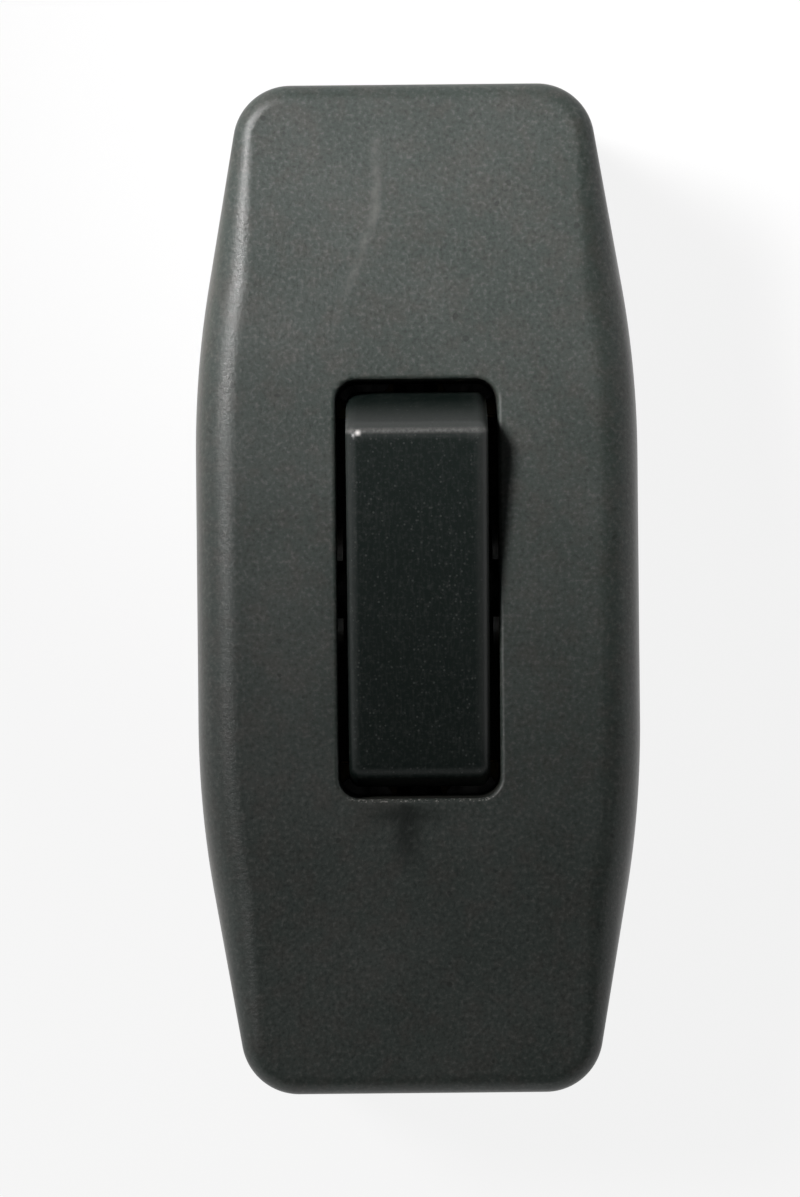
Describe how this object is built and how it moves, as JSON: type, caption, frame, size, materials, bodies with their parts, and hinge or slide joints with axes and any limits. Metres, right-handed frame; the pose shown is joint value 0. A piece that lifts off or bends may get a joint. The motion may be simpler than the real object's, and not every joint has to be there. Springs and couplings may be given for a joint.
{
  "type": "inline cord switch",
  "caption": "Barrel-shaped inline cord switch: moulded shells clamp a round cord at each end, and a tall rocker in a long window works rocking contacts.",
  "frame": {"origin": "under the middle of the flat base, at the height of the surface that the switch lies on", "axes": "+Y along the cord, towards the end whose side of the rocker stands raised in the off position; +Z up to the rocker; +X to the right when seen from above with +Y up"},
  "size_m": [0.0308, 0.07, 0.0264],
  "materials": {
    "shell": "matt dark grey moulding with a fine grain",
    "rocker": "matt near-black moulding",
    "brass": "plain stamped and drawn brass",
    "contact": "silver-faced contact metal",
    "steel": "plated steel"
  },
  "bodies": {
    "housing": {"upper_shell": "shell", "lower_shell": "shell", "fixed_contact_left": "contact", "fixed_contact_right": "contact", "fulcrum_terminal_left": "brass", "fulcrum_terminal_right": "brass", "contact_terminal_left": "brass", "contact_terminal_right": "brass", "cord_clamp_front": "shell", "cord_clamp_rear": "shell", "terminal_screws": "steel", "cord_clamp_screws": "steel", "housing_screws": "steel"},
    "rocker_body": {"rocker": "rocker", "plunger_spring_left": "steel", "plunger_spring_right": "steel"},
    "plunger_left_body": {"plunger_left": "brass"},
    "plunger_right_body": {"plunger_right": "brass"},
    "bridge_left_body": {"contact_bridge_left": "brass", "moving_contact_left": "contact"},
    "bridge_right_body": {"contact_bridge_right": "brass", "moving_contact_right": "contact"}
  },
  "joints": [
    {"name": "rocker_tilt", "type": "hinge", "parent": "housing", "child": "rocker_body", "pos_m": [0, 0, 0.018], "axis": [-1, 0, 0], "range_deg": [0, 16]},
    {"name": "bridge_left_tilt", "type": "hinge", "parent": "housing", "child": "bridge_left_body", "pos_m": [-0.00245, 0, 0.0076], "axis": [1, 0, 0], "range_deg": [0, 14]},
    {"name": "bridge_right_tilt", "type": "hinge", "parent": "housing", "child": "bridge_right_body", "pos_m": [0.00245, 0, 0.0076], "axis": [1, 0, 0], "range_deg": [0, 14]},
    {"name": "plunger_left_slide", "type": "slide", "parent": "rocker_body", "child": "plunger_left_body", "axis": [0, -0.1392, 0.9903], "range_m": [0, 0.0005], "stiffness_N_per_m": 300, "springref_m": -0.003, "deforming": ["plunger_spring_left"]},
    {"name": "plunger_right_slide", "type": "slide", "parent": "rocker_body", "child": "plunger_right_body", "axis": [0, -0.1392, 0.9903], "range_m": [0, 0.0005], "stiffness_N_per_m": 300, "springref_m": -0.003, "deforming": ["plunger_spring_right"]}
  ],
  "couplings": [
    {"joint": "bridge_left_tilt", "follows": "rocker_tilt", "ratio": 0.875},
    {"joint": "bridge_right_tilt", "follows": "rocker_tilt", "ratio": 0.875}
  ]
}
